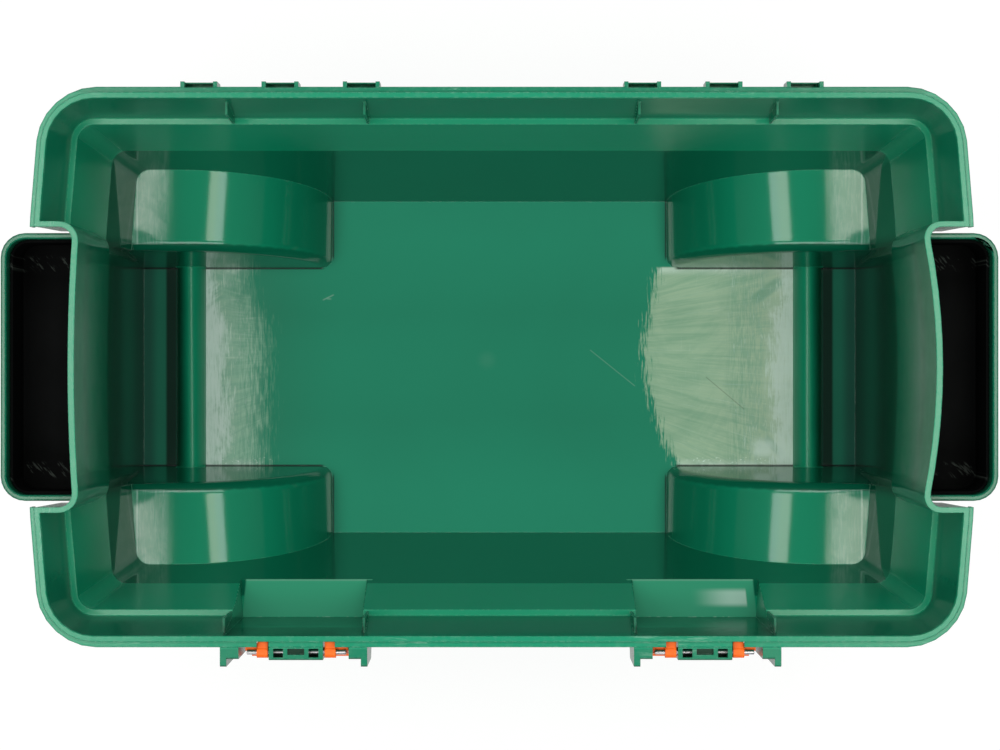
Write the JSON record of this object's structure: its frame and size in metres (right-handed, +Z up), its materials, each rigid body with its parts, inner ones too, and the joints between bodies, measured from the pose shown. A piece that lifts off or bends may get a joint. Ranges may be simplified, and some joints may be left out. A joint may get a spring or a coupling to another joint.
{
  "type": "wheeled storage box",
  "caption": "Moulded plastic storage box on wheels, open at the top, with wheel arches inside, draw latches on the front, hinge sockets on the back and a carrying handle at each end.",
  "frame": {"origin": "on the ground, under the middle of the whole box's length and width", "axes": "+X to the right along the length, seen from the latches' side; +Y from the latches to the hinge sockets; +Z up"},
  "size_m": [0.809, 0.47, 0.465],
  "materials": {
    "tub_green": "glossy moulded polypropylene, lightly scuffed",
    "liner_black": "plain black moulding",
    "wheel_black": "plain black moulding",
    "tyre_rubber": "matt soft tread",
    "latch_orange": "satin orange moulding",
    "bright_steel": "plain drawn steel"
  },
  "bodies": {
    "tub": {"tub": "tub_green", "pocket_liner_left": "liner_black", "pocket_liner_right": "liner_black", "axle_left": "bright_steel", "axle_right": "bright_steel", "axle_cap_front_left": "liner_black", "axle_cap_front_right": "liner_black", "axle_cap_back_left": "liner_black", "axle_cap_back_right": "liner_black", "latch_pin_left": "bright_steel", "latch_pin_right": "bright_steel"},
    "front_left_wheel": {"wheel_front_left": "wheel_black", "tyre_front_left": "tyre_rubber"},
    "front_right_wheel": {"wheel_front_right": "wheel_black", "tyre_front_right": "tyre_rubber"},
    "back_left_wheel": {"wheel_back_left": "wheel_black", "tyre_back_left": "tyre_rubber"},
    "back_right_wheel": {"wheel_back_right": "wheel_black", "tyre_back_right": "tyre_rubber"},
    "left_latch": {"latch_lever_left": "latch_orange"},
    "right_latch": {"latch_lever_right": "latch_orange"}
  },
  "joints": [
    {"name": "front_left_wheel_turn", "type": "hinge", "parent": "tub", "child": "front_left_wheel", "pos_m": [-0.294, -0.13025, 0.1], "axis": [0, 1, 0], "continuous": true},
    {"name": "front_right_wheel_turn", "type": "hinge", "parent": "tub", "child": "front_right_wheel", "pos_m": [0.294, -0.13025, 0.1], "axis": [0, 1, 0], "continuous": true},
    {"name": "back_left_wheel_turn", "type": "hinge", "parent": "tub", "child": "back_left_wheel", "pos_m": [-0.294, 0.14175, 0.1], "axis": [0, 1, 0], "continuous": true},
    {"name": "back_right_wheel_turn", "type": "hinge", "parent": "tub", "child": "back_right_wheel", "pos_m": [0.294, 0.14175, 0.1], "axis": [0, 1, 0], "continuous": true},
    {"name": "left_latch_swing", "type": "hinge", "parent": "tub", "child": "left_latch", "pos_m": [-0.1636, -0.22405, 0.455], "axis": [-1, 0, 0], "range_deg": [0, 165]},
    {"name": "right_latch_swing", "type": "hinge", "parent": "tub", "child": "right_latch", "pos_m": [0.1652, -0.22405, 0.455], "axis": [-1, 0, 0], "range_deg": [0, 165]}
  ]
}
